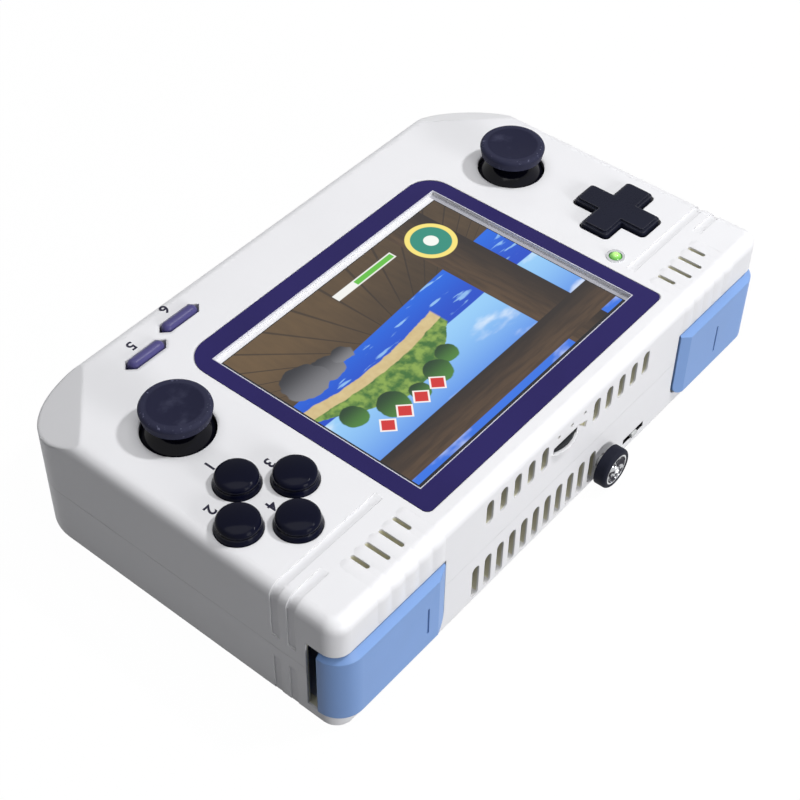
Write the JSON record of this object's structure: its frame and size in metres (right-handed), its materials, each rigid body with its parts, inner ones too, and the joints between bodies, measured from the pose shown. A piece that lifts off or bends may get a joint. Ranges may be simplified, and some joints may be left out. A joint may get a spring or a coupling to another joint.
{
  "type": "handheld game console",
  "caption": "Wide handheld game console: central screen, thumbsticks, direction pad, round face buttons, shoulder triggers and cooling vents in a moulded case.",
  "frame": {"origin": "on the back face, straight behind the centre of the screen", "axes": "+X to the player's right, +Y to the edge with the triggers, +Z out of the screen"},
  "size_m": [0.1484, 0.0927, 0.039],
  "materials": {
    "shell_white": "satin",
    "bezel_purple": "satin",
    "trigger_blue": "satin",
    "button_black": "gloss",
    "stick_rubber": "matt",
    "menu_lilac": "satin",
    "light_green": "clear",
    "bright_trim": "polished",
    "screen": "coated",
    "board": "lacquered",
    "inner_black": "matt",
    "sink": "milled",
    "battery": "matt",
    "silicone": "matt",
    "steel": "plain",
    "inner_grey": "matt"
  },
  "bodies": {
    "case": {"front_shell": "shell_white", "rear_shell": "shell_white", "screen_bezel": "bezel_purple", "screen_panel": "screen", "screen_driver_board": "board", "main_board": "board", "processor": "inner_black", "heat_sink": "sink", "blower_housing": "inner_black", "left_battery": "battery", "right_battery": "battery", "charge_socket": "steel", "left_speaker": "inner_black", "right_speaker": "inner_black", "left_button_board": "board", "right_button_board": "board", "pad_membrane": "silicone", "face_membrane": "silicone", "menu_membrane": "silicone", "power_light": "light_green", "power_light_ring": "bright_trim", "trigger_pins": "steel", "left_trigger_switch": "inner_black", "right_trigger_switch": "inner_black", "volume_wheel_pot": "inner_black", "knob_pot": "inner_grey", "power_switch_body": "steel", "case_screws": "steel", "board_screws": "steel", "left_stick_housing": "inner_black", "right_stick_housing": "inner_black"},
    "left_gimbal": {"left_stick_gimbal": "inner_grey"},
    "left_stick": {"left_stick_post": "button_black", "left_stick_cap": "stick_rubber"},
    "right_gimbal": {"right_stick_gimbal": "inner_grey"},
    "right_stick": {"right_stick_post": "button_black", "right_stick_cap": "stick_rubber"},
    "pad_ball": {"pad_pivot_ball": "inner_grey"},
    "direction_pad": {"direction_pad": "button_black"},
    "face_button_1": {"face_button_1": "button_black"},
    "face_button_2": {"face_button_2": "button_black"},
    "face_button_3": {"face_button_3": "button_black"},
    "face_button_4": {"face_button_4": "button_black"},
    "start_button": {"start_button": "menu_lilac"},
    "select_button": {"select_button": "menu_lilac"},
    "left_trigger": {"left_trigger": "trigger_blue"},
    "right_trigger": {"right_trigger": "trigger_blue"},
    "volume_wheel": {"volume_wheel": "stick_rubber"},
    "knob": {"knob_rim": "stick_rubber", "knob_face": "bright_trim", "knob_shaft": "steel"},
    "power_slider": {"power_slider": "silicone"},
    "blower_rotor": {"blower_rotor": "inner_black"}
  },
  "joints": [
    {"name": "left_stick_tip", "type": "hinge", "parent": "case", "child": "left_gimbal", "pos_m": [-0.0557, -0.0194, 0.0255], "axis": [1, 0, 0], "range_deg": [-15, 15], "stiffness_Nm_per_rad": 0.02},
    {"name": "left_stick_roll", "type": "hinge", "parent": "left_gimbal", "child": "left_stick", "pos_m": [-0.0557, -0.0194, 0.0255], "axis": [0, 1, 0], "range_deg": [-15, 15], "stiffness_Nm_per_rad": 0.02},
    {"name": "right_stick_tip", "type": "hinge", "parent": "case", "child": "right_gimbal", "pos_m": [0.0557, -0.0194, 0.0255], "axis": [1, 0, 0], "range_deg": [-15, 15], "stiffness_Nm_per_rad": 0.02},
    {"name": "right_stick_roll", "type": "hinge", "parent": "right_gimbal", "child": "right_stick", "pos_m": [0.0557, -0.0194, 0.0255], "axis": [0, 1, 0], "range_deg": [-15, 15], "stiffness_Nm_per_rad": 0.02},
    {"name": "pad_tip", "type": "hinge", "parent": "case", "child": "pad_ball", "pos_m": [-0.0582, 0.0092, 0.0276], "axis": [1, 0, 0], "range_deg": [-5, 5], "stiffness_Nm_per_rad": 0.05},
    {"name": "pad_roll", "type": "hinge", "parent": "pad_ball", "child": "direction_pad", "pos_m": [-0.0582, 0.0092, 0.0276], "axis": [0, 1, 0], "range_deg": [-5, 5], "stiffness_Nm_per_rad": 0.05},
    {"name": "face_button_1_press", "type": "slide", "parent": "case", "child": "face_button_1", "axis": [0, 0, -1], "range_m": [0, 0.0015], "stiffness_N_per_m": 400},
    {"name": "face_button_2_press", "type": "slide", "parent": "case", "child": "face_button_2", "axis": [0, 0, -1], "range_m": [0, 0.0015], "stiffness_N_per_m": 400},
    {"name": "face_button_3_press", "type": "slide", "parent": "case", "child": "face_button_3", "axis": [0, 0, -1], "range_m": [0, 0.0015], "stiffness_N_per_m": 400},
    {"name": "face_button_4_press", "type": "slide", "parent": "case", "child": "face_button_4", "axis": [0, 0, -1], "range_m": [0, 0.0015], "stiffness_N_per_m": 400},
    {"name": "start_press", "type": "slide", "parent": "case", "child": "start_button", "axis": [0, 0, -1], "range_m": [0, 0.0008], "stiffness_N_per_m": 400},
    {"name": "select_press", "type": "slide", "parent": "case", "child": "select_button", "axis": [0, 0, -1], "range_m": [0, 0.0008], "stiffness_N_per_m": 400},
    {"name": "left_trigger_pull", "type": "hinge", "parent": "case", "child": "left_trigger", "pos_m": [-0.0446, 0.036, 0.012], "axis": [0, 0, 1], "range_deg": [0, 5], "stiffness_Nm_per_rad": 0.3},
    {"name": "right_trigger_pull", "type": "hinge", "parent": "case", "child": "right_trigger", "pos_m": [0.0446, 0.036, 0.012], "axis": [0, 0, -1], "range_deg": [0, 5], "stiffness_Nm_per_rad": 0.3},
    {"name": "volume_turn", "type": "hinge", "parent": "case", "child": "volume_wheel", "pos_m": [0.0021, 0.0308, 0.0245], "axis": [0, 0, 1], "range_deg": [-135, 135]},
    {"name": "knob_turn", "type": "hinge", "parent": "case", "child": "knob", "pos_m": [-0.0137, 0.0402, 0.0053], "axis": [0, 1, 0], "range_deg": [-135, 135]},
    {"name": "power_slide", "type": "slide", "parent": "case", "child": "power_slider", "axis": [1, 0, 0], "range_m": [-0.0027, 0.0027]},
    {"name": "blower_spin", "type": "hinge", "parent": "case", "child": "blower_rotor", "pos_m": [0.011, 0.0065, 0.0065], "axis": [0, 0, 1], "continuous": true}
  ]
}
